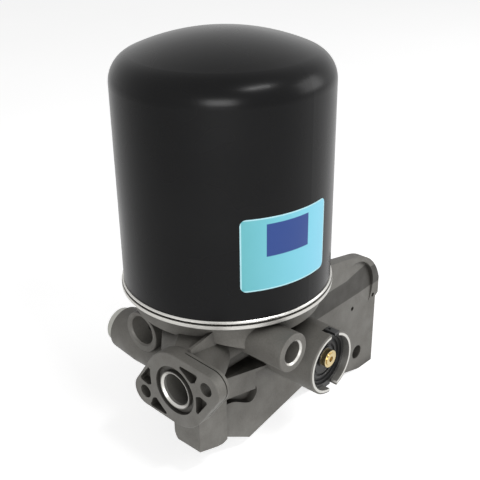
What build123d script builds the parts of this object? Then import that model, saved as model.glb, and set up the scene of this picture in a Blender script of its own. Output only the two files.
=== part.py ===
"""Air dryer for a compressed-air brake system.

A black spin-on desiccant cartridge stands on one aluminium casting that holds the
ports, the governor, the check valve and the purge valve.
Millimetres. Z is the cartridge's axis and z = 0 is the mouth of the exhaust port.
The inlet flange faces -Y, the governor faces +X and the mounting face faces +Y.
"""
from build123d import *
from math import asin, atan2, cos, degrees, pi, radians, sin, sqrt
import os

os.makedirs("parts", exist_ok=True)

# General clearances
fit_gap = 0.05
free_gap = 0.3

# Springs are drawn with a six-sided wire
coil_turns = 3
wire_sides = 6

# Heights of the main levels
rim_z = 118.0
ring_h = 2.1
seat_gap = 0.6
deck_z = rim_z - ring_h - seat_gap

# Cartridge shell
can_r = 68.5
can_h = 157.8
can_wall = 1.2
can_corner_r = 18.6
crown_r = 142.3

# Seam ring and rim of the casting
ring_overhang = 1.0
ring_w = 8.0
ring_r = can_r + ring_overhang
ring_in_r = ring_r - ring_w
rim_overhang = 0.5
rim_r = ring_r + rim_overhang
rim_h = 2.3
skirt_step = 7.0
skirt_r = rim_r - skirt_step
skirt_top_drop = 7.4
skirt_low_drop = 17.5
web_start = (34.4, -52.8)
web_turn = radians(41)
web_length = 31.0
web_drop = 18.1
web_slope = 0.25
web_inset = 16.0

# Lower body of the casting
body_r = 27.0
exhaust_boss_r = 24.0
channel_in_r = 28.0
channel_wall = 13.0
channel_out_r = skirt_r - channel_wall
channel_floor = 97.0
nipple_boss_top = 110.0
nipple_hole_r = 19.5
nipple_hole_depth = 18.0
dry_bore_r = 13.0
dry_bore_floor = 54.0

# Inlet flange and its pipe
flange_y = -80.0
flange_x = 30.2
flange_z = rim_z - 41.3
flange_tilt = 26.2
bolt_half = 29.95
flange_mid_r = 25.0
flange_ear_r = 10.3
flange_t = 6.6
flange_slit = 0.7
flange_lip = 2.0
inlet_r = 10.5
groove_in_r = 12.6
groove_out_r = 16.2
groove_depth = 3.0
bolt_hole_r = 4.5
flange_edge_r = 0.8
slit_depth = 0.8
slit_from = 14.0
pocket_depth = 5.2
pocket_corner_r = 1.2
port_chamfer = 1.2
pipe_collar_r = 23.0
pipe_collar_end_y = -40.0
neck_x = 22.0
neck_z = 84.0
neck_r = 17.0
neck_end_y = -15.0
inlet_end_y = -60.0
inlet_turn_x = 24.0
inlet_turn_z = 82.0
inlet_well_y = -27.0
inlet_well_r = 8.0

# Outlet boss and check valve body
outlet_y = -52.0
outlet_x = -31.0
outlet_z = rim_z - 37.4
outlet_r = 10.2
outlet_boss_r = 14.4
outlet_boss_drop = 1.2
valve_y = -34.0
valve_z = rim_z - 58.0
valve_end_x = -69.0
valve_end_r = 15.5
valve_root_r = 17.6
valve_root_x = -46.0
valve_root_end = 3.0
valve_bore_r = 11.0
valve_bore_x = -31.0
valve_seat_r = 6.0
valve_passage_x = -4.0

# Control port boss
control_x = 78.0
control_y = -25.9
control_z = rim_z - 20.6
control_boss_r = 12.6
control_r = 7.2
control_depth = 24.0

# Governor housing
gov_x = 80.0
gov_y = 11.6
gov_z = rim_z - 46.1
gov_boss_r = 21.8
gov_bore_r = 19.0
gov_bore_end = 28.0
gov_slot_w = 8.0
gov_slot_y = 2.5
gov_slot_depth = 8.0
gov_clip_x = 73.6
gov_clip_t = 1.6
gov_clip_groove_r = 20.2
screw_rise = 2.5

# Bracket wall and mounting flange
wall_x = 37.0
wall_t = 8.0
mount_y = 127.0
bump_y = 130.4
mount_t = 10.0
mount_left_x = -41.0
mount_top_drop = 63.0
mount_low_drop = 118.0
mount_hole_r = 6.5
mount_span_x = 50.0
mount_span_z = 34.0
scoop_y = 97.0
scoop_drop = 48.0
scoop_r = 25.3
scoop_depth = -0.5
scoop_tilt = 0.1
pit_r = 1.7
pit_depth = 2.5
bracket_hole_r = 5.6
bracket_hole_y = 105.4
bracket_hole_drop = 103.1

# Leg block under the flange
leg_left_x = 17.8
leg_right_x = 40.5
leg_front_y = -70.6
leg_back_y = -45.7
leg_low_drop = 91.5
leg_corner_r = 9.5

# Boss edges
boss_edge_r = 0.8

# Exhaust port and purge valve
exhaust_r = 18.0
exhaust_step = 12.0
purge_bore_r = 16.0
purge_bore_top = 46.0
purge_clip_z = 4.0
purge_clip_t = 1.5
purge_clip_groove_r = 19.2


def at_rim(drop):
    """Height of a level that lies `drop` below the cartridge's lower edge."""
    return rim_z - drop


# Deeper part of the skirt beside the control port
with BuildPart() as skirt_web:
    with BuildSketch(Plane(origin=(*web_start, 0), x_dir=(cos(web_turn), sin(web_turn), 0),
                           z_dir=(sin(web_turn), -cos(web_turn), 0))):
        with BuildLine():
            Polyline((-2, at_rim(skirt_low_drop - 2)), (web_length, at_rim(skirt_low_drop - 2)),
                     (web_length, at_rim(web_drop + web_slope * web_length)), (0, at_rim(web_drop)),
                     (-2, at_rim(skirt_low_drop)), close=True)
        make_face()
    extrude(amount=web_inset, both=True)
    with BuildSketch(Plane.XY.offset(at_rim(40))):
        Circle(skirt_r)
    extrude(amount=40, mode=Mode.INTERSECT)

# The casting: bowl, pipes, bosses, bracket and leg in one piece
with BuildPart() as housing:
    with BuildSketch(Plane.XZ):
        with BuildLine():
            Polyline(
                (0, 0), (exhaust_boss_r - 1.5, 0), (exhaust_boss_r, 1.5), (exhaust_boss_r, 24),
                (body_r, 40), (body_r, 60), (body_r + 5, 76), (body_r + 16, 88),
                (skirt_r - 8, at_rim(skirt_low_drop) - 6.5),
                (skirt_r - 3, at_rim(skirt_low_drop) - 2.5),
                (skirt_r - 2.6, at_rim(skirt_low_drop) - 0.6), (skirt_r, at_rim(skirt_low_drop)),
                (skirt_r, at_rim(skirt_top_drop)), (rim_r - 1.2, deck_z - rim_h - 1.2),
                (rim_r, deck_z - rim_h), (rim_r, deck_z), (0, deck_z), close=True)
        make_face()
    revolve(axis=Axis.Z)
    add(skirt_web.part)

    # Inlet flange: a rhombus with round corners and a fine slit behind one ear
    flange_plane = Plane(
        origin=(flange_x, flange_y, flange_z), z_dir=(0, -1, 0),
        x_dir=(cos(radians(flange_tilt)), 0, sin(radians(flange_tilt))))
    with BuildSketch(flange_plane) as flange_shape:
        with Locations((-bolt_half, 0), (bolt_half, 0)):
            Circle(flange_ear_r)
        Circle(flange_mid_r)
        make_hull()
    extrude(amount=-(flange_t + flange_slit + flange_lip))
    fillet(housing.edges().filter_by_position(Axis.Y, flange_y, flange_y), flange_edge_r)
    with BuildSketch(flange_plane.offset(-flange_t)):
        add(flange_shape.sketch_local)
        offset(flange_shape.sketch_local, amount=-slit_depth, mode=Mode.SUBTRACT)
        with Locations((slit_from + bolt_half, 0)):
            Rectangle(2 * bolt_half, 4 * flange_mid_r, mode=Mode.INTERSECT)
    extrude(amount=-flange_slit, mode=Mode.SUBTRACT)

    # Inlet pipe: a tapered collar behind the flange and the neck that joins the bowl
    collar_start = flange_y + flange_t + flange_slit + flange_lip
    with BuildSketch(Plane(origin=(flange_x, collar_start, flange_z), x_dir=(1, 0, 0),
                           z_dir=(0, -1, 0))):
        Circle(pipe_collar_r)
    neck_plane = Plane(origin=(neck_x, pipe_collar_end_y, neck_z), x_dir=(1, 0, 0), z_dir=(0, -1, 0))
    with BuildSketch(neck_plane):
        Circle(neck_r)
    loft()
    with BuildSketch(neck_plane):
        Circle(neck_r)
    extrude(amount=pipe_collar_end_y - neck_end_y)

    # Web that fills the corner between the flange's upper side and the skirt
    with BuildSketch(Plane(origin=(0, collar_start, 0), x_dir=(1, 0, 0), z_dir=(0, -1, 0))):
        with BuildLine():
            Polyline((9.7, at_rim(36)), (9.7, at_rim(25.4)), (22, at_rim(17.9)),
                     (34.3, at_rim(16.5)), (34.3, at_rim(36)), close=True)
        make_face()
    with BuildSketch(Plane(origin=(0, -48, 0), x_dir=(1, 0, 0), z_dir=(0, -1, 0))):
        with BuildLine():
            Polyline((-13, at_rim(36)), (-13, at_rim(22)), (8, at_rim(13.5)),
                     (34.3, at_rim(14)), (34.3, at_rim(36)), close=True)
        make_face()
    loft(ruled=True)

    # Outlet boss and the check valve body beside it
    with BuildSketch(Plane(origin=(outlet_x, outlet_y, outlet_z - outlet_boss_drop),
                           x_dir=(1, 0, 0), z_dir=(0, -1, 0))):
        Circle(outlet_boss_r)
    extrude(amount=outlet_y + 20.0)
    fillet(housing.edges().filter_by_position(Axis.Y, outlet_y, outlet_y), boss_edge_r)
    with BuildSketch(Plane(origin=(0, valve_y, valve_z), x_dir=(1, 0, 0), z_dir=(0, -1, 0))):
        with BuildLine():
            Polyline(
                (valve_end_x, 0), (valve_end_x, valve_end_r - 1), (valve_end_x + 1, valve_end_r),
                (valve_root_x, valve_root_r), (valve_root_end, valve_root_r), (valve_root_end, 0),
                close=True)
        make_face()
    revolve(axis=Axis((0, valve_y, valve_z), (1, 0, 0)))

    # Control port boss
    with BuildSketch(Plane(origin=(control_x, control_y, control_z), x_dir=(0, 1, 0),
                           z_dir=(1, 0, 0))):
        Circle(control_boss_r)
    extrude(amount=-(control_x - 30.0))
    fillet(housing.edges().filter_by_position(Axis.X, control_x, control_x), boss_edge_r)

    # Governor barrel
    with BuildSketch(Plane(origin=(gov_x, gov_y, gov_z), x_dir=(0, 1, 0), z_dir=(1, 0, 0))):
        Circle(gov_boss_r)
    extrude(amount=-(gov_x - 20.0))
    fillet(housing.edges().filter_by_position(Axis.X, gov_x, gov_x), boss_edge_r)

    # Bracket wall
    with BuildSketch(Plane(origin=(wall_x, 0, 0), x_dir=(0, 1, 0), z_dir=(1, 0, 0))):
        with BuildLine():
            Polyline((-46.5, at_rim(86)), (-45.7, at_rim(93.6)), (-20.4, at_rim(109.2)),
                     (37.2, at_rim(98.4)), (95.7, at_rim(116.6)), (109.6, at_rim(120.4)),
                     (mount_y, at_rim(120.7)), (mount_y, at_rim(62)), (bump_y, at_rim(60)),
                     (bump_y, at_rim(46.5)))
            ThreePointArc((bump_y, at_rim(46.5)), (120, at_rim(29)), (100.2, at_rim(18.2)))
            Polyline((100.2, at_rim(18.2)), (69, at_rim(12.1)), (35, at_rim(9)), (0, at_rim(30)),
                     (-6.5, at_rim(38)), (-7.5, at_rim(56)), (-40, at_rim(60)),
                     (-46.5, at_rim(86)))
        make_face()
    extrude(amount=-wall_t)

    # Second wall on the far side and the flange that bolts to the chassis
    with BuildSketch(Plane(origin=(mount_left_x, 0, 0), x_dir=(0, 1, 0), z_dir=(1, 0, 0))):
        with BuildLine():
            Polyline(
                (10, at_rim(32)), (56, at_rim(30)), (mount_y - 1, at_rim(mount_top_drop)),
                (mount_y - 1, at_rim(mount_low_drop)), (70, at_rim(mount_low_drop - 14)),
                (10, at_rim(78)), close=True)
        make_face()
    extrude(amount=wall_t)
    with BuildSketch(Plane(origin=(0, mount_y, 0), x_dir=(1, 0, 0), z_dir=(0, -1, 0))):
        with BuildLine():
            Polyline(
                (mount_left_x, at_rim(mount_low_drop)), (wall_x - 1, at_rim(mount_low_drop)),
                (wall_x - 1, at_rim(mount_top_drop)), (mount_left_x, at_rim(mount_top_drop)),
                close=True)
        make_face()
    extrude(amount=mount_t)
    with BuildSketch(Plane.XY.offset(at_rim(88))):
        with Locations(((mount_left_x + wall_x) / 2, (20 + mount_y) / 2 - 1)):
            Rectangle(wall_x - mount_left_x - 2, mount_y - 20)
    extrude(amount=8)

    # Leg block under the flange
    with BuildSketch(Plane(origin=(leg_right_x, 0, 0), x_dir=(0, 1, 0), z_dir=(1, 0, 0))):
        with BuildLine():
            Polyline(
                (leg_front_y, at_rim(50)), (leg_front_y, at_rim(88.8)), (-54.4, at_rim(94.0)),
                (-50, at_rim(94.6)), (leg_back_y, at_rim(93.6)), (leg_back_y, at_rim(50)), close=True)
        make_face()
    extrude(amount=-(leg_right_x - leg_left_x))
    with BuildSketch(Plane(origin=(leg_left_x, leg_front_y, at_rim(leg_low_drop)),
                           x_dir=(1, 0, 0), z_dir=(0, -1, 0))):
        Rectangle(2 * leg_corner_r, 2 * leg_corner_r)
        with Locations((leg_corner_r, leg_corner_r)):
            Circle(leg_corner_r, mode=Mode.SUBTRACT)
    extrude(amount=leg_front_y - leg_back_y, mode=Mode.SUBTRACT)

    # Box under the pipe with a thin shelf that runs out to a point
    with BuildSketch(Plane(origin=(42, 0, 0), x_dir=(0, 1, 0), z_dir=(1, 0, 0))):
        with BuildLine():
            Polyline(
                (-72, at_rim(38.7)), (-19.5, at_rim(51.7)), (-19.5, at_rim(67.2)),
                (-47, at_rim(60.7)), (-72, at_rim(58)), close=True)
        make_face()
    extrude(amount=-16)
    with BuildSketch(Plane(origin=(42, 0, 0), x_dir=(0, 1, 0), z_dir=(1, 0, 0))):
        with BuildLine():
            Polyline(
                (-24, at_rim(50.6)), (-7, at_rim(54.8)), (-7, at_rim(56.2)), (-24, at_rim(53.6)),
                close=True)
        make_face()
    extrude(amount=-18.5)

    # Thin rib along the web's edge
    with BuildSketch(Plane(origin=(36.1, 0, 0), x_dir=(0, 1, 0), z_dir=(1, 0, 0))):
        with BuildLine():
            Polyline((collar_start, at_rim(14.4)), (-49, at_rim(10.6)), (-49, at_rim(30)),
                     (collar_start, at_rim(30)), close=True)
        make_face()
    extrude(amount=-1.8)

    # Air channel under the cartridge and the central boss that holds the nipple
    with BuildSketch(Plane.XY.offset(deck_z)):
        Circle(channel_out_r)
        Circle(channel_in_r, mode=Mode.SUBTRACT)
    extrude(amount=channel_floor - deck_z, mode=Mode.SUBTRACT)
    with BuildSketch(Plane.XY.offset(deck_z)):
        Circle(channel_in_r)
    extrude(amount=nipple_boss_top - deck_z, mode=Mode.SUBTRACT)
    with BuildSketch(Plane.XY.offset(nipple_boss_top)):
        Circle(nipple_hole_r)
    extrude(amount=-nipple_hole_depth, mode=Mode.SUBTRACT)
    with BuildSketch(Plane.XY.offset(nipple_boss_top)):
        Circle(dry_bore_r)
    extrude(amount=dry_bore_floor - nipple_boss_top, mode=Mode.SUBTRACT)

    # Inlet bore, sealing groove, bolt holes and pockets in the flange
    with BuildSketch(flange_plane):
        Circle(inlet_r)
    extrude(amount=flange_y - inlet_end_y, mode=Mode.SUBTRACT)
    with BuildSketch(flange_plane):
        Circle(inlet_r + port_chamfer)
    extrude(amount=-port_chamfer, taper=45, mode=Mode.SUBTRACT)
    with BuildSketch(Plane(origin=(inlet_turn_x, inlet_end_y, inlet_turn_z), x_dir=(1, 0, 0),
                           z_dir=(0, -1, 0))):
        Circle(inlet_well_r)
    extrude(amount=inlet_end_y - inlet_well_y, mode=Mode.SUBTRACT)
    with BuildSketch(flange_plane):
        Circle(groove_out_r)
        Circle(groove_in_r, mode=Mode.SUBTRACT)
    extrude(amount=-groove_depth, mode=Mode.SUBTRACT)
    with BuildSketch(flange_plane):
        with Locations((-bolt_half, 0), (bolt_half, 0)):
            Circle(bolt_hole_r)
    extrude(amount=-(flange_t + flange_slit + flange_lip), mode=Mode.SUBTRACT)
    with BuildSketch(Plane(origin=(inlet_turn_x, inlet_well_y, inlet_turn_z), x_dir=(1, 0, 0),
                           z_dir=(0, 0, 1))):
        Circle(inlet_well_r)
    extrude(amount=channel_floor - inlet_turn_z + 1, mode=Mode.SUBTRACT)
    for side in (-1, 1):
        with BuildSketch(flange_plane) as left_pocket:
            with BuildLine():
                Polyline((-15.2, side * 17.4), (-18.4, side * 11.4), (-21.4, side * 4.3),
                         (-25.0, side * 4.6), (-30.8, side * 9.4), close=True)
            make_face()
            fillet(left_pocket.vertices(), pocket_corner_r)
        extrude(amount=-pocket_depth, mode=Mode.SUBTRACT)
        with BuildSketch(flange_plane) as right_pocket:
            with BuildLine():
                Polyline((10.9, side * 17.3), (15.0, side * 10.4), (18.0, side * 4.3),
                         (22.0, side * 4.4), (27.0, side * 8.6), close=True)
            make_face()
            fillet(right_pocket.vertices(), pocket_corner_r)
        extrude(amount=-pocket_depth, mode=Mode.SUBTRACT)

    # Outlet bore, check valve bore, its passages and the drilling between them
    with BuildSketch(Plane(origin=(outlet_x, outlet_y, outlet_z), x_dir=(1, 0, 0),
                           z_dir=(0, -1, 0))):
        Circle(outlet_r)
    extrude(amount=-26, mode=Mode.SUBTRACT)
    with BuildSketch(Plane(origin=(outlet_x, outlet_y, outlet_z), x_dir=(1, 0, 0),
                           z_dir=(0, -1, 0))):
        Circle(outlet_r + port_chamfer)
    extrude(amount=-port_chamfer, taper=45, mode=Mode.SUBTRACT)
    valve_plane = Plane(origin=(valve_end_x, valve_y, valve_z), x_dir=(0, -1, 0), z_dir=(-1, 0, 0))
    with BuildSketch(valve_plane):
        Circle(valve_bore_r)
    extrude(amount=-(valve_bore_x - valve_end_x), mode=Mode.SUBTRACT)
    with BuildSketch(valve_plane):
        Circle(valve_seat_r)
    extrude(amount=-(valve_passage_x - valve_end_x), mode=Mode.SUBTRACT)
    with BuildSketch(Plane(origin=(valve_passage_x - 4, valve_y, valve_z), x_dir=(1, 0, 0),
                           z_dir=(0, -1, 0))):
        Circle(valve_seat_r - 1)
    extrude(amount=valve_y + 8, mode=Mode.SUBTRACT)
    with BuildSketch(Plane(origin=(-37, valve_y, valve_z), x_dir=(1, 0, 0), z_dir=(0, 0, 1))):
        Circle(5)
    extrude(amount=outlet_z - valve_z, mode=Mode.SUBTRACT)

    # Control port
    with BuildSketch(Plane(origin=(control_x, control_y, control_z), x_dir=(0, 1, 0),
                           z_dir=(1, 0, 0))):
        Circle(control_r)
    extrude(amount=-control_depth, mode=Mode.SUBTRACT)
    with BuildSketch(Plane(origin=(control_x, control_y, control_z), x_dir=(0, 1, 0),
                           z_dir=(1, 0, 0))):
        Circle(control_r + port_chamfer)
    extrude(amount=-port_chamfer, taper=45, mode=Mode.SUBTRACT)

    # Governor bore, clip groove, the two slots in its rim and the signal drilling
    gov_plane = Plane(origin=(gov_x, gov_y, gov_z), x_dir=(0, 1, 0), z_dir=(1, 0, 0))
    with BuildSketch(gov_plane):
        Circle(gov_bore_r)
    extrude(amount=-(gov_x - gov_bore_end), mode=Mode.SUBTRACT)
    with BuildSketch(gov_plane.offset(gov_clip_x + gov_clip_t - gov_x + fit_gap)):
        Circle(gov_clip_groove_r)
    extrude(amount=-(gov_clip_t + 2 * fit_gap), mode=Mode.SUBTRACT)
    with BuildSketch(gov_plane):
        with Locations((gov_slot_y, 0)):
            Rectangle(gov_slot_w, 4 * gov_boss_r)
    extrude(amount=-gov_slot_depth, mode=Mode.SUBTRACT)

    # Exhaust port, purge valve bore and clip groove
    with BuildSketch(Plane.XY):
        Circle(exhaust_r)
    extrude(amount=exhaust_step, mode=Mode.SUBTRACT)
    with BuildSketch(Plane.XY):
        Circle(purge_bore_r)
    extrude(amount=purge_bore_top, mode=Mode.SUBTRACT)
    with BuildSketch(Plane.XY.offset(purge_clip_z - fit_gap)):
        Circle(purge_clip_groove_r)
    extrude(amount=purge_clip_t + 2 * fit_gap, mode=Mode.SUBTRACT)

    # Scoop in the wall's top corner, hollow under the box and two casting pits
    with BuildSketch(Plane(origin=(wall_x - scoop_depth, scoop_y, at_rim(scoop_drop)),
                           x_dir=(-scoop_tilt, 1, 0), z_dir=(1, scoop_tilt, scoop_tilt))):
        Circle(scoop_r)
    extrude(amount=8, mode=Mode.SUBTRACT)
    with BuildSketch(Plane(origin=(wall_x, 0, 0), x_dir=(0, 1, 0), z_dir=(1, 0, 0))):
        with BuildLine():
            Polyline((-43.6, at_rim(70)), (-43.6, at_rim(61.9)), (-19.5, at_rim(67.6)))
            ThreePointArc((-19.5, at_rim(67.6)), (-12.6, at_rim(73.5)), (-19.5, at_rim(80.5)))
            Spline((-19.5, at_rim(80.5)), (-26.5, at_rim(77.0)), (-34, at_rim(72.4)),
                   (-43.6, at_rim(70)))
        make_face()
    extrude(amount=-5, mode=Mode.SUBTRACT)
    with BuildSketch(Plane(origin=(wall_x, 0, 0), x_dir=(0, 1, 0), z_dir=(1, 0, 0))):
        with Locations((96.4, at_rim(60.2)), (123.5, at_rim(59.6))):
            Circle(pit_r)
    extrude(amount=-pit_depth, mode=Mode.SUBTRACT)

    # Mounting holes and the hole in the bracket wall
    with BuildSketch(Plane(origin=(0, mount_y, 0), x_dir=(-1, 0, 0), z_dir=(0, 1, 0))):
        with Locations((2, at_rim((mount_top_drop + mount_low_drop) / 2))):
            with GridLocations(mount_span_x, mount_span_z, 2, 2):
                Circle(mount_hole_r)
    extrude(amount=-mount_t, mode=Mode.SUBTRACT)
    with BuildSketch(Plane(origin=(wall_x, 0, 0), x_dir=(0, 1, 0), z_dir=(1, 0, 0))):
        with Locations((bracket_hole_y, at_rim(bracket_hole_drop))):
            Circle(bracket_hole_r)
    extrude(amount=-wall_t, mode=Mode.SUBTRACT)
housing.part.label = "housing"
export_step(housing.part, "parts/housing.step")

# Cartridge shell: a drawn steel can with a low crown
with BuildPart() as cartridge_shell:
    corner_half = can_r - can_corner_r
    crown_mid_z = rim_z + can_h - crown_r
    corner_mid = (corner_half,
                  crown_mid_z + sqrt((crown_r - can_corner_r) ** 2 - corner_half ** 2))
    turn = atan2(sqrt((crown_r - can_corner_r) ** 2 - corner_mid[0] ** 2), corner_mid[0])
    with BuildSketch(Plane.XZ):
        with BuildLine() as outer_line:
            Line((can_r, rim_z), (can_r, corner_mid[1]))
            ThreePointArc(
                (can_r, corner_mid[1]),
                (corner_mid[0] + can_corner_r * cos(turn / 2),
                 corner_mid[1] + can_corner_r * sin(turn / 2)),
                (corner_mid[0] + can_corner_r * cos(turn),
                 corner_mid[1] + can_corner_r * sin(turn)))
            shoulder = (corner_mid[0] + can_corner_r * cos(turn),
                        corner_mid[1] + can_corner_r * sin(turn))
            crown_half = (pi / 2 + turn) / 2
            ThreePointArc(
                shoulder,
                (crown_r * cos(crown_half), crown_mid_z + crown_r * sin(crown_half)),
                (0, crown_mid_z + crown_r))
            Line((0, crown_mid_z + crown_r), (0, crown_mid_z + crown_r - can_wall))
            inner_r = crown_r - can_wall
            inner_shoulder = (corner_mid[0] + (can_corner_r - can_wall) * cos(turn),
                              corner_mid[1] + (can_corner_r - can_wall) * sin(turn))
            ThreePointArc(
                (0, crown_mid_z + inner_r),
                (inner_r * cos(crown_half), crown_mid_z + inner_r * sin(crown_half)),
                inner_shoulder)
            ThreePointArc(
                inner_shoulder,
                (corner_mid[0] + (can_corner_r - can_wall) * cos(turn / 2),
                 corner_mid[1] + (can_corner_r - can_wall) * sin(turn / 2)),
                (can_r - can_wall, corner_mid[1]))
            Line((can_r - can_wall, corner_mid[1]), (can_r - can_wall, rim_z))
            Line((can_r - can_wall, rim_z), (can_r, rim_z))
        make_face()
    revolve(axis=Axis.Z)
cartridge_shell.part.label = "cartridge_shell"
export_step(cartridge_shell.part, "parts/cartridge_shell.step")

# Seam ring that closes the can's lower edge
with BuildPart() as seam_ring:
    with BuildSketch(Plane.XZ):
        with BuildLine():
            Polyline(
                (ring_in_r, rim_z - ring_h), (ring_r - 0.6, rim_z - ring_h),
                (ring_r, rim_z - ring_h + 0.6), (ring_r, rim_z - 0.6), (ring_r - 0.6, rim_z),
                (ring_in_r, rim_z), close=True)
        make_face()
    revolve(axis=Axis.Z)
seam_ring.part.label = "seam_ring"
export_step(seam_ring.part, "parts/seam_ring.step")

# Cartridge base plate with air holes, a threaded neck and a groove for the gasket
base_t = 6.0
base_top = rim_z + base_t
neck_top = rim_z + 12.0
nipple_r = 19.4
gasket_inset = 8.5
gasket_w = 6.0
gasket_out_r = can_r - gasket_inset
gasket_in_r = gasket_out_r - gasket_w
gasket_groove = 3.0
with BuildPart() as base_plate:
    with BuildSketch(Plane.XY.offset(rim_z)):
        Circle(can_r - can_wall - fit_gap)
    extrude(amount=base_t)
    with BuildSketch(Plane.XY.offset(base_top)):
        Circle(26)
    extrude(amount=neck_top - base_top)
    with BuildSketch(Plane.XY.offset(rim_z)):
        Circle(gasket_out_r + fit_gap)
        Circle(gasket_in_r - fit_gap, mode=Mode.SUBTRACT)
    extrude(amount=gasket_groove, mode=Mode.SUBTRACT)
    with BuildSketch(Plane.XY.offset(rim_z)):
        Circle(nipple_r + fit_gap)
    extrude(amount=neck_top - rim_z, mode=Mode.SUBTRACT)
    with BuildSketch(Plane.XY.offset(rim_z)):
        with PolarLocations(38, 8):
            Circle(4)
    extrude(amount=base_t, mode=Mode.SUBTRACT)
base_plate.part.label = "cartridge_base_plate"
export_step(base_plate.part, "parts/cartridge_base_plate.step")

# Rubber gasket between the base plate and the casting's deck
with BuildPart() as gasket:
    with BuildSketch(Plane.XY.offset(deck_z)):
        Circle(gasket_out_r)
        Circle(gasket_in_r, mode=Mode.SUBTRACT)
    extrude(amount=rim_z + gasket_groove - deck_z)
gasket.part.label = "cartridge_gasket"
export_step(gasket.part, "parts/cartridge_gasket.step")

# Hollow threaded nipple that the cartridge is screwed onto
collar_r = 23.5
collar_t = 3.0
nipple_low = nipple_boss_top - 16.0
nipple_top = neck_top - 0.5
with BuildPart() as nipple:
    with BuildSketch(Plane.XY.offset(nipple_low)):
        Circle(nipple_r)
    extrude(amount=nipple_top - nipple_low)
    with BuildSketch(Plane.XY.offset(nipple_boss_top)):
        Circle(collar_r)
    extrude(amount=collar_t)
    with BuildSketch(Plane.XY.offset(nipple_low)):
        Circle(dry_bore_r)
    extrude(amount=nipple_top - nipple_low, mode=Mode.SUBTRACT)
nipple.part.label = "threaded_nipple"
export_step(nipple.part, "parts/threaded_nipple.step")

# Round seal between the nipple's collar and the base plate
seal_r = (rim_z - nipple_boss_top - collar_t) / 2
with BuildPart() as nipple_seal:
    with BuildSketch(Plane.XZ):
        with Locations((nipple_r + seal_r + fit_gap, rim_z - seal_r)):
            Circle(seal_r)
    revolve(axis=Axis.Z)
nipple_seal.part.label = "nipple_seal"
export_step(nipple_seal.part, "parts/nipple_seal.step")

# Desiccant cup: closed at the bottom around the outlet hole, open at the top
cup_space = 10.0
cup_room = 31.8
cup_r = can_r - cup_space
cup_wall = 1.5
cup_top = rim_z + can_h - cup_room
outlet_hole_r = 14.0
with BuildPart() as desiccant_cup:
    with BuildSketch(Plane.XY.offset(neck_top)):
        Circle(cup_r)
    extrude(amount=cup_wall)
    with BuildSketch(Plane.XY.offset(neck_top)):
        Circle(cup_r)
        Circle(cup_r - cup_wall, mode=Mode.SUBTRACT)
    extrude(amount=cup_top - neck_top)
    with BuildSketch(Plane.XY.offset(neck_top)):
        Circle(outlet_hole_r)
    extrude(amount=cup_wall, mode=Mode.SUBTRACT)
desiccant_cup.part.label = "desiccant_cup"
export_step(desiccant_cup.part, "parts/desiccant_cup.step")

# Sieve plates, fleece discs and the bed of drying beads between them
sieve_t = 1.5
fleece_t = 2.0
fill_r = cup_r - cup_wall - fit_gap
low_sieve_z = neck_top + cup_wall
low_fleece_z = low_sieve_z + sieve_t
bed_low = low_fleece_z + fleece_t
bed_top = cup_top - 12.0
top_sieve_z = bed_top + fleece_t
with BuildPart() as lower_sieve:
    with BuildSketch(Plane.XY.offset(low_sieve_z)):
        Circle(fill_r)
        with PolarLocations(18, 6):
            Circle(4, mode=Mode.SUBTRACT)
        with PolarLocations(40, 12):
            Circle(4, mode=Mode.SUBTRACT)
    extrude(amount=sieve_t)
lower_sieve.part.label = "lower_sieve"
export_step(lower_sieve.part, "parts/lower_sieve.step")

with BuildPart() as lower_fleece:
    with BuildSketch(Plane.XY.offset(low_fleece_z)):
        Circle(fill_r)
    extrude(amount=fleece_t)
lower_fleece.part.label = "lower_fleece"
export_step(lower_fleece.part, "parts/lower_fleece.step")

with BuildPart() as desiccant_bed:
    with BuildSketch(Plane.XY.offset(bed_low)):
        Circle(fill_r)
    extrude(amount=bed_top - bed_low)
desiccant_bed.part.label = "desiccant_bed"
export_step(desiccant_bed.part, "parts/desiccant_bed.step")

with BuildPart() as upper_fleece:
    with BuildSketch(Plane.XY.offset(bed_top)):
        Circle(fill_r)
    extrude(amount=fleece_t)
upper_fleece.part.label = "upper_fleece"
export_step(upper_fleece.part, "parts/upper_fleece.step")

with BuildPart() as upper_sieve:
    with BuildSketch(Plane.XY.offset(top_sieve_z)):
        Circle(fill_r)
        with PolarLocations(18, 6):
            Circle(4, mode=Mode.SUBTRACT)
        with PolarLocations(40, 12):
            Circle(4, mode=Mode.SUBTRACT)
    extrude(amount=sieve_t)
upper_sieve.part.label = "upper_sieve"
export_step(upper_sieve.part, "parts/upper_sieve.step")

# Spring that presses the bed down from the can's crown
bed_spring_r = 24.0
bed_wire_r = 1.6
bed_spring_low = top_sieve_z + sieve_t
bed_spring_top = crown_mid_z + sqrt((crown_r - can_wall) ** 2 - (bed_spring_r + bed_wire_r) ** 2)
bed_spring_h = bed_spring_top - bed_spring_low - 2 * bed_wire_r
with BuildPart() as bed_spring:
    with BuildLine() as bed_coil:
        Helix(pitch=bed_spring_h / coil_turns, height=bed_spring_h, radius=bed_spring_r,
              center=(0, 0, bed_spring_low + bed_wire_r))
    with BuildSketch(Plane(origin=bed_coil.line @ 0, z_dir=bed_coil.line % 0)):
        RegularPolygon(bed_wire_r, wire_sides)
    sweep(path=bed_coil.line, is_frenet=True)
bed_spring.part.label = "bed_spring"
export_step(bed_spring.part, "parts/bed_spring.step")

# Ring of fine mesh that takes oil out of the air before it reaches the desiccant
oil_ring_lift = 4.0
oil_ring_h = 42.0
with BuildPart() as oil_separator:
    with BuildSketch(Plane.XY.offset(neck_top + oil_ring_lift)):
        Circle(can_r - can_wall - fit_gap)
        Circle(cup_r + fit_gap, mode=Mode.SUBTRACT)
    extrude(amount=oil_ring_h)
oil_separator.part.label = "oil_separator_ring"
export_step(oil_separator.part, "parts/oil_separator_ring.step")

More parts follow.
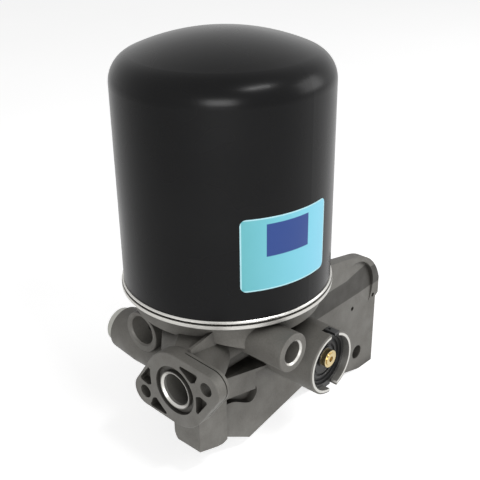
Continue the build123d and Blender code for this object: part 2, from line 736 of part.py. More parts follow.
# Label: a thin bare sticker on the can
label_t = 0.15
label_gap = 0.02
label_low = rim_z + 18.9
label_high = rim_z + 65.2
label_from = -40.3
label_to = 12.4
label_corner_r = 4.0
with BuildPart() as cartridge_label:
    with BuildSketch(Plane(origin=(0, 0, 0), x_dir=(cos(radians(label_from)), sin(radians(label_from)), 0),
                           z_dir=(sin(radians(label_from)), -cos(radians(label_from)), 0))):
        with Locations((can_r + label_gap + label_t / 2, (label_low + label_high) / 2)):
            Rectangle(label_t, label_high - label_low)
    revolve(axis=Axis.Z, revolution_arc=label_to - label_from)
    fillet(cartridge_label.edges().filter_by(
        lambda edge: edge.length < 2 * label_t and abs((edge % 0).Z) < 0.01), label_corner_r)
cartridge_label.part.label = "cartridge_label"
export_step(cartridge_label.part, "parts/cartridge_label.step")

# Governor: cover, clip, adjusting screw with its nut, spring, seat, piston and seal
cover_t = 5.0
cover_x = gov_clip_x - cover_t
cover_hub_r = 8.6
cover_hub_h = 1.6
screw_r = 4.3
screw_end_x = gov_x - 0.8
seat_x = 60.0
seat_t = 2.5
gov_piston_x = 31.0
gov_piston_t = 9.0
gov_piston_r = gov_bore_r - fit_gap
with BuildPart() as governor_cover:
    with BuildSketch(gov_plane.offset(cover_x - gov_x)):
        Circle(gov_bore_r - fit_gap)
    extrude(amount=cover_t)
    with BuildSketch(gov_plane.offset(gov_clip_x - gov_x)):
        Circle(15.2)
        Circle(13.2, mode=Mode.SUBTRACT)
    extrude(amount=-1.2, mode=Mode.SUBTRACT)
    with BuildSketch(gov_plane.offset(gov_clip_x - gov_x)):
        Circle(11.4)
        Circle(9.8, mode=Mode.SUBTRACT)
    extrude(amount=-1.0, mode=Mode.SUBTRACT)
    with BuildSketch(gov_plane.offset(gov_clip_x - gov_x)):
        with Locations((0, screw_rise)):
            Circle(cover_hub_r - 1.6)
    extrude(amount=cover_hub_h)
    with BuildSketch(gov_plane.offset(cover_x - gov_x)):
        with Locations((0, screw_rise)):
            Circle(screw_r + fit_gap)
    extrude(amount=cover_t + cover_hub_h, mode=Mode.SUBTRACT)
governor_cover.part.label = "governor_cover"
export_step(governor_cover.part, "parts/governor_cover.step")

lug_w = 4.7
lug_y = 3.0
tab_x = 72.4
tab_end_x = 81.0
tab_top = 22.2
tab_t = 1.6
with BuildPart() as snap_ring:
    with BuildSketch(gov_plane.offset(gov_clip_x - gov_x)):
        Circle(gov_clip_groove_r - fit_gap)
        Circle(17.0, mode=Mode.SUBTRACT)
        with Locations((lug_y, 19.0), (lug_y, -19.0)):
            Rectangle(lug_w, 4.4)
        with Locations((-12, -12)):
            Rectangle(2.4, 20.0, rotation=-45, mode=Mode.SUBTRACT)
    extrude(amount=gov_clip_t)
    with BuildSketch(Plane(origin=(0, gov_y, gov_z), x_dir=(0, 1, 0), z_dir=(1, 0, 0)).offset(tab_x)):
        with Locations((lug_y, tab_top - tab_t / 2)):
            Rectangle(lug_w, tab_t)
    extrude(amount=tab_end_x - tab_x)
    with BuildSketch(Plane.XY.offset(gov_z + tab_top)):
        with Locations((tab_x + 2.4, gov_y + lug_y)):
            Circle(1)
    extrude(amount=-tab_t, mode=Mode.SUBTRACT)
snap_ring.part.label = "snap_ring"
export_step(snap_ring.part, "parts/snap_ring.step")

with BuildPart() as adjusting_screw:
    with BuildSketch(gov_plane.offset(seat_x + seat_t - gov_x)):
        with Locations((0, screw_rise)):
            Circle(screw_r)
    extrude(amount=screw_end_x - seat_x - seat_t)
    with BuildSketch(gov_plane.offset(screw_end_x - gov_x)):
        with Locations((0, screw_rise)):
            Circle(1.9)
    extrude(amount=-2.5, mode=Mode.SUBTRACT)
adjusting_screw.part.label = "adjusting_screw"
export_step(adjusting_screw.part, "parts/adjusting_screw.step")

nut_x = gov_clip_x + cover_hub_h
with BuildPart() as lock_nut:
    with BuildSketch(gov_plane.offset(nut_x - gov_x)):
        with Locations((0, screw_rise)):
            Circle(5.9)
            Circle(screw_r + fit_gap, mode=Mode.SUBTRACT)
    extrude(amount=3.4)
lock_nut.part.label = "lock_nut"
export_step(lock_nut.part, "parts/lock_nut.step")

with BuildPart() as spring_seat:
    with BuildSketch(gov_plane.offset(seat_x - gov_x)):
        Circle(13)
    extrude(amount=seat_t)
spring_seat.part.label = "governor_spring_seat"
export_step(spring_seat.part, "parts/governor_spring_seat.step")

gov_wire_r = 1.3
gov_coil_r = 10.0
gov_spring_x = gov_piston_x + gov_piston_t
gov_spring_h = seat_x - gov_spring_x - 2 * gov_wire_r
with BuildPart() as governor_spring:
    with BuildLine() as gov_coil:
        Helix(pitch=gov_spring_h / coil_turns, height=gov_spring_h, radius=gov_coil_r,
              center=(gov_spring_x + gov_wire_r, gov_y, gov_z), direction=(1, 0, 0))
    with BuildSketch(Plane(origin=gov_coil.line @ 0, z_dir=gov_coil.line % 0)):
        RegularPolygon(gov_wire_r, wire_sides)
    sweep(path=gov_coil.line, is_frenet=True)
governor_spring.part.label = "governor_spring"
export_step(governor_spring.part, "parts/governor_spring.step")

gov_seal_w = 3.0
gov_seal_in_r = 16.2
with BuildPart() as governor_piston:
    with BuildSketch(gov_plane.offset(gov_piston_x - gov_x)):
        Circle(gov_piston_r)
    extrude(amount=gov_piston_t)
    with BuildSketch(gov_plane.offset(gov_piston_x + 3 - gov_x)):
        Circle(gov_piston_r + 1)
        Circle(gov_seal_in_r, mode=Mode.SUBTRACT)
    extrude(amount=gov_seal_w, mode=Mode.SUBTRACT)
governor_piston.part.label = "governor_piston"
export_step(governor_piston.part, "parts/governor_piston.step")

with BuildPart() as governor_seal:
    with BuildSketch(gov_plane.offset(gov_piston_x + 3 - gov_x)):
        Circle(gov_piston_r)
        Circle(gov_seal_in_r, mode=Mode.SUBTRACT)
    extrude(amount=gov_seal_w)
governor_seal.part.label = "governor_piston_seal"
export_step(governor_seal.part, "parts/governor_piston_seal.step")

# Check valve: end cap, its seal, the spring and the poppet on its seat
cap_r = 12.5
cap_head = 6.0
cap_plug = 9.0
cap_plug_r = valve_bore_r - fit_gap
cap_seal_w = 2.5
cap_seal_in_r = 9.0
with BuildPart() as valve_cap:
    with BuildSketch(valve_plane):
        Circle(cap_r)
    extrude(amount=cap_head)
    with BuildSketch(valve_plane):
        Circle(cap_plug_r)
    extrude(amount=-cap_plug)
    with BuildSketch(valve_plane.offset(-3)):
        Circle(cap_plug_r + 1)
        Circle(cap_seal_in_r, mode=Mode.SUBTRACT)
    extrude(amount=-cap_seal_w, mode=Mode.SUBTRACT)
    with BuildSketch(valve_plane.offset(-cap_plug)):
        Circle(6.5)
    extrude(amount=5, mode=Mode.SUBTRACT)
valve_cap.part.label = "valve_cap"
export_step(valve_cap.part, "parts/valve_cap.step")

with BuildPart() as cap_seal:
    with BuildSketch(valve_plane.offset(-3)):
        Circle(cap_plug_r)
        Circle(cap_seal_in_r, mode=Mode.SUBTRACT)
    extrude(amount=-cap_seal_w)
cap_seal.part.label = "valve_cap_seal"
export_step(cap_seal.part, "parts/valve_cap_seal.step")

poppet_t = 4.0
poppet_r = 9.0
poppet_x = valve_bore_x - poppet_t
poppet_neck_r = 3.0
with BuildPart() as check_poppet:
    with BuildSketch(valve_plane.offset(valve_end_x - valve_bore_x + free_gap)):
        Circle(poppet_r)
    extrude(amount=poppet_t)
    with BuildSketch(valve_plane.offset(valve_end_x - valve_bore_x + free_gap + poppet_t)):
        Circle(poppet_neck_r)
    extrude(amount=8)
check_poppet.part.label = "check_valve_poppet"
export_step(check_poppet.part, "parts/check_valve_poppet.step")

check_wire_r = 0.7
check_coil_r = 5.2
check_low = valve_end_x - valve_bore_x + free_gap + poppet_t
check_h = -(cap_plug - 5) - check_low - 2 * check_wire_r
with BuildPart() as check_spring:
    with BuildLine() as check_coil:
        Helix(pitch=check_h / coil_turns, height=check_h, radius=check_coil_r,
              center=(valve_end_x - check_low - check_wire_r, valve_y, valve_z),
              direction=(-1, 0, 0))
    with BuildSketch(Plane(origin=check_coil.line @ 0, z_dir=check_coil.line % 0)):
        RegularPolygon(check_wire_r, wire_sides)
    sweep(path=check_coil.line, is_frenet=True)
check_spring.part.label = "check_valve_spring"
export_step(check_spring.part, "parts/check_valve_spring.step")

# Purge valve: piston and stem, rubber disc, spring, seat ring, outlet sleeve and clip
seat_ring_z = 14.0
seat_ring_t = 4.0
seat_hole_r = 9.0
purge_piston_z = 36.0
purge_piston_t = 8.0
purge_stem_r = 4.0
disc_r = 11.0
disc_t = 4.0
disc_top = seat_ring_z - free_gap
with BuildPart() as purge_piston:
    with BuildSketch(Plane.XY.offset(purge_piston_z)):
        Circle(purge_bore_r - fit_gap)
    extrude(amount=purge_piston_t)
    with BuildSketch(Plane.XY.offset(disc_top)):
        Circle(purge_stem_r)
    extrude(amount=purge_piston_z - disc_top)
    with BuildSketch(Plane.XY.offset(purge_piston_z + 2.5)):
        Circle(purge_bore_r + 1)
        Circle(13.4, mode=Mode.SUBTRACT)
    extrude(amount=2.8, mode=Mode.SUBTRACT)
purge_piston.part.label = "purge_piston"
export_step(purge_piston.part, "parts/purge_piston.step")

with BuildPart() as purge_seal:
    with BuildSketch(Plane.XY.offset(purge_piston_z + 2.5)):
        Circle(purge_bore_r - fit_gap)
        Circle(13.4, mode=Mode.SUBTRACT)
    extrude(amount=2.8)
purge_seal.part.label = "purge_piston_seal"
export_step(purge_seal.part, "parts/purge_piston_seal.step")

with BuildPart() as purge_disc:
    with BuildSketch(Plane.XY.offset(disc_top - disc_t)):
        Circle(disc_r)
    extrude(amount=disc_t)
purge_disc.part.label = "purge_valve_disc"
export_step(purge_disc.part, "parts/purge_valve_disc.step")

with BuildPart() as purge_seat:
    with BuildSketch(Plane.XY.offset(seat_ring_z)):
        Circle(purge_bore_r - fit_gap)
        Circle(seat_hole_r, mode=Mode.SUBTRACT)
    extrude(amount=seat_ring_t)
purge_seat.part.label = "purge_seat_ring"
export_step(purge_seat.part, "parts/purge_seat_ring.step")

purge_wire_r = 1.1
purge_coil_r = 12.0
purge_spring_low = seat_ring_z + seat_ring_t
purge_spring_h = purge_piston_z - purge_spring_low - 2 * purge_wire_r
with BuildPart() as purge_spring:
    with BuildLine() as purge_coil:
        Helix(pitch=purge_spring_h / coil_turns, height=purge_spring_h, radius=purge_coil_r,
              center=(0, 0, purge_spring_low + purge_wire_r))
    with BuildSketch(Plane(origin=purge_coil.line @ 0, z_dir=purge_coil.line % 0)):
        RegularPolygon(purge_wire_r, wire_sides)
    sweep(path=purge_coil.line, is_frenet=True)
purge_spring.part.label = "purge_spring"
export_step(purge_spring.part, "parts/purge_spring.step")

sleeve_low = purge_clip_z + purge_clip_t
with BuildPart() as exhaust_sleeve:
    with BuildSketch(Plane.XY.offset(sleeve_low)):
        Circle(exhaust_r - fit_gap)
        Circle(disc_r + 2, mode=Mode.SUBTRACT)
    extrude(amount=exhaust_step - sleeve_low)
    with BuildSketch(Plane.XY.offset(exhaust_step)):
        Circle(purge_bore_r - fit_gap)
        Circle(disc_r + 2, mode=Mode.SUBTRACT)
    extrude(amount=seat_ring_z - exhaust_step)
exhaust_sleeve.part.label = "exhaust_sleeve"
export_step(exhaust_sleeve.part, "parts/exhaust_sleeve.step")

with BuildPart() as exhaust_clip:
    with BuildSketch(Plane.XY.offset(purge_clip_z)):
        Circle(purge_clip_groove_r - fit_gap)
        Circle(15.5, mode=Mode.SUBTRACT)
        with Locations((0, -17)):
            Rectangle(7, 8, mode=Mode.SUBTRACT)
    extrude(amount=purge_clip_t)
exhaust_clip.part.label = "exhaust_clip"
export_step(exhaust_clip.part, "parts/exhaust_clip.step")
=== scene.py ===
# %% [markdown]
# # An air dryer, dressed in Blender
#
# The object is the air dryer of a truck's brake system: a black sheet-steel cartridge that
# is screwed onto an aluminium casting. The solids come from a CAD model, which we load as a
# fixed frame. This notebook gives every piece its finish, adds the few things that are too
# fine for the CAD model, and sets up a floor, lamps and a camera.

# %% Load the frame
from math import cos, pi, radians, sin

import bmesh
import bpy
from mathutils import Matrix, Vector


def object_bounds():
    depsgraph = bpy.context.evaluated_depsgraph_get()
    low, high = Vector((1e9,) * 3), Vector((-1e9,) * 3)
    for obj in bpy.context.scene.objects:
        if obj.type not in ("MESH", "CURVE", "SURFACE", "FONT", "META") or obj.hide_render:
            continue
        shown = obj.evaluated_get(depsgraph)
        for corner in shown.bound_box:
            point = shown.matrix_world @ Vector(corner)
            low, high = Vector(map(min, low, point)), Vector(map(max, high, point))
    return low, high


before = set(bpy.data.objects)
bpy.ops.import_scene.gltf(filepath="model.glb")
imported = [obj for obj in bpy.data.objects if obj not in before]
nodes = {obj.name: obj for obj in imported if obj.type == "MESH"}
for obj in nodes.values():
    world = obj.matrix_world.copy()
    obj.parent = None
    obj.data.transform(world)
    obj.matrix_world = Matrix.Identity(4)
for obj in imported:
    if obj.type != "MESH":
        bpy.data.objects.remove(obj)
cad_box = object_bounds()
MM = 0.001
print("loaded", len(nodes), "solids; box", cad_box)

# %% [markdown]
# ## Camera
#
# A picture of an object can be matched only from where it was taken. The camera's place was
# worked out from the can's rim and edges: it stands 0.61 m away in plan and looks 26 degrees
# down. We build its three directions from yaw, pitch and roll, and turn them with the object.

# %% Camera
CAMERA_BACK = 485.879 * MM
CAMERA_HEIGHT = (254.655 + 118.0) * MM
CAMERA_YAW = 0.0182728
CAMERA_PITCH = 0.449179
CAMERA_ROLL = -0.0132777
OBJECT_TURN = radians(43.5)
LENS_MM = 36.0 * 821.537 / 480.0


def photo_camera():
    """A camera at the photograph's place, with the object's turn taken into its own axes."""
    forward = Vector((sin(CAMERA_YAW) * cos(CAMERA_PITCH), cos(CAMERA_YAW) * cos(CAMERA_PITCH),
                      -sin(CAMERA_PITCH)))
    right_level = Vector((cos(CAMERA_YAW), -sin(CAMERA_YAW), 0.0))
    up_level = right_level.cross(forward)
    right = right_level * cos(CAMERA_ROLL) + up_level * sin(CAMERA_ROLL)
    up = up_level * cos(CAMERA_ROLL) - right_level * sin(CAMERA_ROLL)
    turn = Matrix.Rotation(OBJECT_TURN, 3, "Z")
    axes = [turn @ axis for axis in (right, up, -forward)]
    place = turn @ Vector((0.0, -CAMERA_BACK, CAMERA_HEIGHT))
    data = bpy.data.cameras.new("photo_camera")
    data.lens = LENS_MM
    data.sensor_width = 36.0
    camera = bpy.data.objects.new("photo_camera", data)
    bpy.context.collection.objects.link(camera)
    camera.matrix_world = Matrix.Translation(place) @ Matrix(axes).transposed().to_4x4()
    return camera


camera = photo_camera()
bpy.context.scene.camera = camera
print("camera at", tuple(round(c, 3) for c in camera.matrix_world.translation))

# %% [markdown]
# ## Helpers for materials
#
# Every finish here is built from nodes. Three small helpers keep the cells short: one makes an
# empty material with its shader, one adds a node and sets its inputs, one links two sockets.


# %% Helpers for materials
class Finish:
    """A material with its shader node, and short ways to add and link nodes."""

    def __init__(self, name, color, metallic=0.0, roughness=0.5, specular=0.5):
        self.material = bpy.data.materials.new(name)
        self.material.use_nodes = True
        self.tree = self.material.node_tree
        self.shader = self.tree.nodes["Principled BSDF"]
        self.shader.inputs["Base Color"].default_value = (*color, 1.0)
        self.shader.inputs["Metallic"].default_value = metallic
        self.shader.inputs["Roughness"].default_value = roughness
        self.shader.inputs["Specular IOR Level"].default_value = specular
        self.place = self.add("ShaderNodeTexCoord")

    def add(self, kind, **values):
        """Adds a node; a value goes to its property, or else to the input of that name."""
        node = self.tree.nodes.new(kind)
        for key, value in values.items():
            if hasattr(node, key):
                setattr(node, key, value)
            else:
                node.inputs[key.replace("_", " ")].default_value = value
        return node

    def link(self, source, target):
        self.tree.links.new(source, target)

    def noise(self, scale, detail=3.0, rough=0.5):
        """Noise on the object's own coordinates; scale is in patches per metre."""
        node = self.add("ShaderNodeTexNoise", Scale=scale, Detail=detail, Roughness=rough)
        self.link(self.place.outputs["Object"], node.inputs["Vector"])
        return node.outputs["Fac"]

    def ramp(self, value, stops):
        """A colour ramp: stops are (position, colour) or (position, grey)."""
        node = self.add("ShaderNodeValToRGB")
        elements = node.color_ramp.elements
        while len(elements) < len(stops):
            elements.new(0.5)
        for element, (position, color) in zip(elements, stops):
            element.position = position
            grey = isinstance(color, float)
            element.color = (color, color, color, 1.0) if grey else (*color, 1.0)
        self.link(value, node.inputs["Fac"])
        return node.outputs["Color"]

    def span(self, value, low, high, from_low=0.3, from_high=0.7):
        """Maps the usable middle of a noise to the range low to high."""
        node = self.add("ShaderNodeMapRange", From_Min=from_low, From_Max=from_high,
                        To_Min=low, To_Max=high)
        self.link(value, node.inputs["Value"])
        return node.outputs["Result"]

    def mix(self, amount, one, two, blend="MIX"):
        """Mixes two colours; each may be a socket or a plain colour."""
        node = self.add("ShaderNodeMix", data_type="RGBA", blend_type=blend)
        for socket, value in ((node.inputs[0], amount), (node.inputs[6], one), (node.inputs[7], two)):
            if isinstance(value, bpy.types.NodeSocket):
                self.link(value, socket)
            elif socket.type == "RGBA":
                socket.default_value = (*value, 1.0)
            else:
                socket.default_value = value
        return node.outputs[2]

    def color(self, socket):
        self.link(socket, self.shader.inputs["Base Color"])

    def roughness(self, socket):
        self.link(socket, self.shader.inputs["Roughness"])

    def math(self, operation, one, two=0.0):
        """One step of arithmetic; each side may be a socket or a plain number."""
        node = self.add("ShaderNodeMath", operation=operation)
        for socket, value in zip(node.inputs, (one, two)):
            if isinstance(value, bpy.types.NodeSocket):
                self.link(value, socket)
            else:
                socket.default_value = value
        return node.outputs["Value"]

    def step(self, value, low, high):
        """0 below low, 1 above high, and a straight line between."""
        node = self.add("ShaderNodeMapRange", From_Min=low, From_Max=high)
        self.link(value, node.inputs["Value"])
        return node.outputs["Result"]

    def between(self, value, low, high, soft=0.0002):
        """1 between low and high and 0 outside, with a soft edge."""
        return self.math("MULTIPLY", self.step(value, low - soft, low + soft),
                         self.math("SUBTRACT", 1.0, self.step(value, high - soft, high + soft)))

    def along(self, axis):
        """The place along X, Y or Z in metres."""
        if not hasattr(self, "split"):
            self.split = self.add("ShaderNodeSeparateXYZ")
            self.link(self.place.outputs["Object"], self.split.inputs["Vector"])
        return self.split.outputs[axis]

    def from_line(self, axis, center):
        """The distance in metres from a line along an axis, through a centre in millimetres."""
        one, two = [name for name in "XYZ" if name != axis]
        sides = [self.math("SUBTRACT", self.along(name), place * MM)
                 for name, place in zip((one, two), center)]
        squares = [self.math("MULTIPLY", side, side) for side in sides]
        return self.math("SQRT", self.math("ADD", squares[0], squares[1]))

    def bump(self, height, distance, strength=1.0):
        """Adds a bump on top of the ones that are there."""
        node = self.add("ShaderNodeBump", Distance=distance, Strength=strength)
        self.link(height, node.inputs["Height"])
        normal = self.shader.inputs["Normal"]
        if normal.is_linked:
            self.link(normal.links[0].from_socket, node.inputs["Normal"])
        self.link(node.outputs["Normal"], normal)


def dress(finish, *names):
    """Puts one finish on CAD nodes by filling their material slots."""
    for name in names:
        mesh = nodes[name].data
        mesh.materials.clear()
        mesh.materials.append(finish.material)
    print(finish.material.name, "on", ", ".join(names))


# %% [markdown]
# ## Cast aluminium
#
# The body is die-cast aluminium that was left as it came from the mould: a dull warm grey with
# a fine sandy skin, darker where it is damp with oil and paler where it was handled. A real
# finish like this is never one colour. Three noises of different sizes do it: large clouds
# for the stain, a middle one for flow marks, and a fine one for the grain of the mould.

# %% Cast aluminium
RIM_MM = 118.0
cast = Finish("cast_aluminium", (0.15, 0.145, 0.132), metallic=0.15, roughness=0.55, specular=0.3)
stain = cast.noise(16.0, 4.0, 0.6)
flow = cast.noise(90.0, 3.0, 0.55)
grain = cast.noise(900.0, 2.0, 0.6)
cast_color = cast.ramp(stain, [(0.3, (0.115, 0.109, 0.097)), (0.7, (0.165, 0.160, 0.147))])
cast_color = cast.mix(cast.span(flow, 0.0, 0.35), cast_color, (0.10, 0.094, 0.085))
cast_color = cast.mix(cast.span(grain, 0.0, 0.15), cast_color, (0.26, 0.255, 0.24))
cast.bump(flow, 0.0004, 0.35)
cast.bump(grain, 0.00012, 0.6)

# %% [markdown]
# ## Machined places on the casting
#
# Where another part seals, a cutter has taken the cast skin off: the rim under the cartridge,
# the lips of the bores and the governor barrel's edge are bright. They belong to the same
# casting, so they are not pieces of their own. The finish finds them by their place: a
# distance from a bore's axis and a range along it, each turned into a soft mask.

# %% Machined places
machined = [
    cast.math("MULTIPLY", cast.step(cast.from_line("Z", (0.0, 0.0)), 0.0692, 0.0695),
              cast.between(cast.along("Z"), 0.1128, 0.1160)),
    cast.math("MULTIPLY", cast.between(cast.from_line("Y", (30.2, 76.7)), 0.0104, 0.0119),
              cast.between(cast.along("Y"), -0.0810, -0.0770)),
    cast.math("MULTIPLY", cast.between(cast.from_line("X", (-25.9, 97.4)), 0.0071, 0.0083),
              cast.between(cast.along("X"), 0.0765, 0.0790)),
    cast.math("MULTIPLY", cast.between(cast.from_line("X", (11.6, 71.9)), 0.0188, 0.0206),
              cast.between(cast.along("X"), 0.0735, 0.0810)),
]
bright = machined[0]
for place in machined[1:]:
    bright = cast.math("MAXIMUM", bright, place)
cast_color = cast.mix(bright, cast_color, (0.55, 0.54, 0.51))
print("machined places:", len(machined))

# %% [markdown]
# ## Painted shade in the corners
#
# An ambient occlusion node measures how enclosed a point is, whatever the light; a ramp turns
# that into a near-black colour. This is painted shade in pockets, behind the flange and under the rim.

# %% Painted shade in the corners
# Painted shade: enclosed points of the casting are coloured almost black.
ao_shade = cast.add("ShaderNodeAmbientOcclusion", Distance=0.014, samples=6)
unshaded = cast.step(ao_shade.outputs["AO"], 0.25, 0.85)
cast_color = cast.mix(unshaded, (0.022, 0.020, 0.017), cast_color)
# Painted shade: the insides of the inlet bore and the bracket hole are coloured near black. Neither
# mask has a far limit. The inlet's painted shade also darkens the bracket wall and the box top along
# that line, and the hole's painted shade puts a dark disc on the second wall.
painted_hole_shade = cast.math("MAXIMUM",
                 cast.math("MULTIPLY", cast.step(cast.math("SUBTRACT", 0.0123, cast.from_line(
                     "Y", (30.2, 76.7))), 0.0012, 0.0019), cast.step(cast.along("Y"), -0.079, -0.070)),
                 cast.math("MULTIPLY", cast.math("SUBTRACT", 1.0, cast.step(cast.from_line(
                     "X", (105.4, 14.9)), 0.0056, 0.0060)), cast.step(cast.math(
                         "SUBTRACT", 0.0368, cast.along("X")), 0.0, 0.001)))
cast_color = cast.mix(cast.math("MULTIPLY", painted_hole_shade, 0.75), cast_color, (0.02, 0.018, 0.015))
cast.color(cast_color)
cast.roughness(cast.math("SUBTRACT", cast.span(flow, 0.48, 0.66), cast.math("MULTIPLY", bright, 0.2)))
cast.link(cast.math("ADD", 0.15, cast.math("MULTIPLY", bright, 0.7)), cast.shader.inputs["Metallic"])
dress(cast, "housing")

# %% [markdown]
# ## Painted steel can
#
# The can is drawn steel with black powder paint. It is smooth, but the paint has a very faint
# orange peel, which softens each reflection. Its darkness comes from a nearly black base
# colour; the grey edges come from the gloss alone.

# %% Painted can
paint = Finish("black_paint", (0.004, 0.004, 0.0043), roughness=0.27, specular=0.13)
peel = paint.noise(420.0, 2.0, 0.5)
cloud = paint.noise(18.0, 2.0, 0.5)
paint.color(paint.ramp(cloud, [(0.3, (0.003, 0.003, 0.0033)), (0.7, (0.005, 0.005, 0.0053))]))
paint.roughness(paint.span(cloud, 0.24, 0.30))
paint.bump(peel, 0.00003, 0.25)
dress(paint, "cartridge_shell")

# %% [markdown]
# ## Bright steel, brass, rubber and plastics
#
# The small pieces share a few finishes. Turned steel shows rings around its axis, but the
# noise of the metals here is not stretched; rubber and plastics only need a little mottle.


# %% Small finishes
def metal(name, color, roughness, grain_scale=500.0, spread=0.06):
    finish = Finish(name, color, metallic=1.0, roughness=roughness)
    fine = finish.noise(grain_scale, 3.0, 0.6)
    wide = finish.noise(40.0, 3.0, 0.5)
    darker = tuple(c * 0.8 for c in color)
    finish.color(finish.mix(finish.span(wide, 0.0, 1.0), color, darker))
    finish.roughness(finish.span(fine, roughness - spread, roughness + spread))
    finish.bump(fine, 0.00002, 0.3)
    return finish


def moulded(name, color, roughness, grain_scale=700.0):
    finish = Finish(name, color, roughness=roughness, specular=0.4)
    fine = finish.noise(grain_scale, 2.0, 0.5)
    wide = finish.noise(60.0, 2.0, 0.5)
    paler = tuple(min(1.0, c * 1.5 + 0.004) for c in color)
    finish.color(finish.mix(finish.span(wide, 0.0, 1.0), color, paler))
    finish.roughness(finish.span(wide, roughness - 0.06, roughness + 0.06))
    finish.bump(fine, 0.00004, 0.3)
    return finish


bright_steel = metal("bright_steel", (0.60, 0.59, 0.56), 0.30)
plain_steel = metal("plain_steel", (0.45, 0.45, 0.44), 0.38)
spring_steel = metal("spring_steel", (0.22, 0.22, 0.23), 0.35)
turned_aluminium = metal("turned_aluminium", (0.40, 0.40, 0.37), 0.45)
brass = metal("brass", (0.62, 0.50, 0.27), 0.32)
rubber = moulded("rubber", (0.012, 0.012, 0.012), 0.62)
black_plastic = moulded("black_plastic", (0.014, 0.014, 0.014), 0.42)
black_steel = moulded("black_steel", (0.012, 0.012, 0.012), 0.35)
grey_plastic = moulded("grey_plastic", (0.12, 0.12, 0.12), 0.5)
fleece = moulded("fleece", (0.62, 0.60, 0.55), 0.9, 1800.0)
beads = moulded("desiccant_beads", (0.62, 0.56, 0.44), 0.6, 400.0)
wire_mesh = metal("wire_mesh", (0.34, 0.34, 0.34), 0.5, 1500.0)

dress(bright_steel, "seam_ring", "exhaust_clip")
dress(plain_steel, "cartridge_base_plate", "threaded_nipple", "desiccant_cup", "lower_sieve",
      "upper_sieve", "governor_spring_seat")
dress(spring_steel, "bed_spring", "governor_spring", "check_valve_spring", "purge_spring")
dress(turned_aluminium, "valve_cap", "governor_piston", "purge_piston", "purge_seat_ring")
dress(brass, "adjusting_screw", "lock_nut")
dress(rubber, "cartridge_gasket", "nipple_seal", "governor_piston_seal", "valve_cap_seal",
      "purge_piston_seal", "purge_valve_disc")
dress(black_plastic, "governor_cover")
dress(black_steel, "snap_ring")
dress(grey_plastic, "check_valve_poppet", "exhaust_sleeve")
dress(fleece, "lower_fleece", "upper_fleece")
dress(beads, "desiccant_bed")
dress(wire_mesh, "oil_separator_ring")

# %% [markdown]
# ## The sticker
#
# A printed film wraps the can. The print needs no picture file: the film's finish reads the
# place on the can, turns it into an angle and a height, and picks the ink from simple ranges.
# The sticker carries no words. It keeps its pale border and one plain dark-blue field.

# %% Sticker
film = Finish("sticker_film", (0.20, 0.52, 0.58), roughness=0.35, specular=0.3)
angle = film.math("ARCTAN2", film.along("Y"), film.along("X"))
height = film.along("Z")


def window(finish, angle, height, box, soft=0.0002):
    """1 inside a box of angles in degrees and heights in millimetres on the can."""
    across = finish.between(angle, radians(box[0]), radians(box[1]), soft / 0.0685)
    return finish.math("MULTIPLY", across, finish.between(height, box[2] * MM, box[3] * MM, soft))


STICKER = (-40.3, 12.4, RIM_MM + 18.9, RIM_MM + 65.2)
FIELD = (-27.0, -2.0, RIM_MM + 40.4, RIM_MM + 61.0)
inner = window(film, angle, height,
               (STICKER[0] + 0.7, STICKER[1] - 0.7, STICKER[2] + 0.8, STICKER[3] - 0.8))
cloud = film.noise(30.0, 2.0)
print_color = film.mix(film.step(angle, radians(-40.0), radians(12.0)),
                       (0.120, 0.420, 0.460), (0.235, 0.620, 0.800))
print_color = film.mix(film.span(cloud, 0.0, 0.15), print_color, (0.22, 0.56, 0.62))
print_color = film.mix(inner, (0.42, 0.70, 0.76), print_color)
field = window(film, angle, height, FIELD)
film.color(film.mix(field, print_color, (0.022, 0.055, 0.22)))
film.roughness(film.span(cloud, 0.32, 0.40))
film.bump(film.noise(300.0), 0.00003, 0.2)
dress(film, "cartridge_label")

# %% [markdown]
# ## Floor, light and background
#
# The object stands on a plain white floor. The sky that the camera sees is white as well, and
# so is what the metal mirrors, but the light that falls on the object is only as strong as a
# colour needs to look as it is written. The floor gets a little glow of its own for the camera
# and for mirrored rays: it lifts the lit floor to white and leaves the object's shadow in it.

# %% White for the camera and for reflections
def seen_ray(tree):
    """1 for rays of the camera, of a reflection or through glass, and 0 for plain light."""
    path = tree.nodes.new("ShaderNodeLightPath")
    value = path.outputs["Is Camera Ray"]
    for name in ("Is Glossy Ray", "Is Transmission Ray"):
        node = tree.nodes.new("ShaderNodeMath")
        node.operation = "MAXIMUM"
        tree.links.new(value, node.inputs[0])
        tree.links.new(path.outputs[name], node.inputs[1])
        value = node.outputs["Value"]
    return value


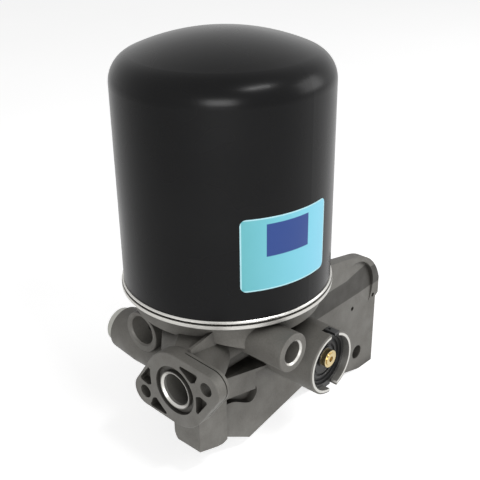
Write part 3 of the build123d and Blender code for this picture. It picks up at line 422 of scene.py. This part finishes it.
# %% Floor
FLOOR_GLOW = 0.62
floor_z = cad_box[0][2]
floor_mesh = bpy.data.meshes.new("floor")
shape = bmesh.new()
bmesh.ops.create_grid(shape, x_segments=1, y_segments=1, size=6.0)
bmesh.ops.translate(shape, verts=shape.verts, vec=(0.0, 0.0, floor_z - 0.0002))
shape.to_mesh(floor_mesh)
shape.free()
floor = bpy.data.objects.new("floor", floor_mesh)
bpy.context.collection.objects.link(floor)
floor_paint = Finish("floor_paint", (0.80, 0.80, 0.80), roughness=0.9, specular=0.0)
floor_paint.color(floor_paint.ramp(floor_paint.noise(3.0), [(0.3, 0.79), (0.7, 0.81)]))
floor_paint.shader.inputs["Emission Color"].default_value = (1.0, 1.0, 1.0, 1.0)
floor_paint.link(floor_paint.math("MULTIPLY", seen_ray(floor_paint.tree), FLOOR_GLOW),
                 floor_paint.shader.inputs["Emission Strength"])
floor_mesh.materials.append(floor_paint.material)

# %% World
SKY_LIGHT = 0.30
world = bpy.data.worlds.new("studio")
bpy.context.scene.world = world
world.use_nodes = True
sky = world.node_tree
sky_light = sky.nodes["Background"]
sky_light.inputs["Color"].default_value = (1.0, 1.0, 1.0, 1.0)
sky_light.inputs["Strength"].default_value = SKY_LIGHT
sky_seen = sky.nodes.new("ShaderNodeBackground")
sky_seen.inputs["Color"].default_value = (1.0, 1.0, 1.0, 1.0)
sky_seen.inputs["Strength"].default_value = 1.0
sky_mix = sky.nodes.new("ShaderNodeMixShader")
sky.links.new(seen_ray(sky), sky_mix.inputs[0])
sky.links.new(sky_light.outputs[0], sky_mix.inputs[1])
sky.links.new(sky_seen.outputs[0], sky_mix.inputs[2])
sky.links.new(sky_mix.outputs[0], sky.nodes["World Output"].inputs["Surface"])


# %% Lamps
def lamp(name, azimuth, elevation, distance, size, watts):
    """A square soft lamp that looks at the object's middle."""
    data = bpy.data.lights.new(name, "AREA")
    data.shape = "RECTANGLE"
    data.size, data.size_y = size
    data.energy = watts
    item = bpy.data.objects.new(name, data)
    bpy.context.collection.objects.link(item)
    middle = Vector((0.0, 0.0, 0.10))
    away = Vector((cos(radians(azimuth)) * cos(radians(elevation)),
                   sin(radians(azimuth)) * cos(radians(elevation)), sin(radians(elevation))))
    item.matrix_world = (Matrix.Translation(middle + away * distance)
                         @ away.to_track_quat("Z", "Y").to_matrix().to_4x4())
    print(name, "at", tuple(round(c, 2) for c in item.matrix_world.translation))


lamp("front_lamp", -50.0, 14.0, 1.7, (0.8, 0.5), 15.0)
lamp("streak_lamp", -4.0, 52.0, 1.3, (0.45, 0.10), 5.0)
lamp("right_lamp", 50.0, 20.0, 1.7, (0.8, 0.8), 8.0)

bpy.context.scene.view_settings.view_transform = "Standard"
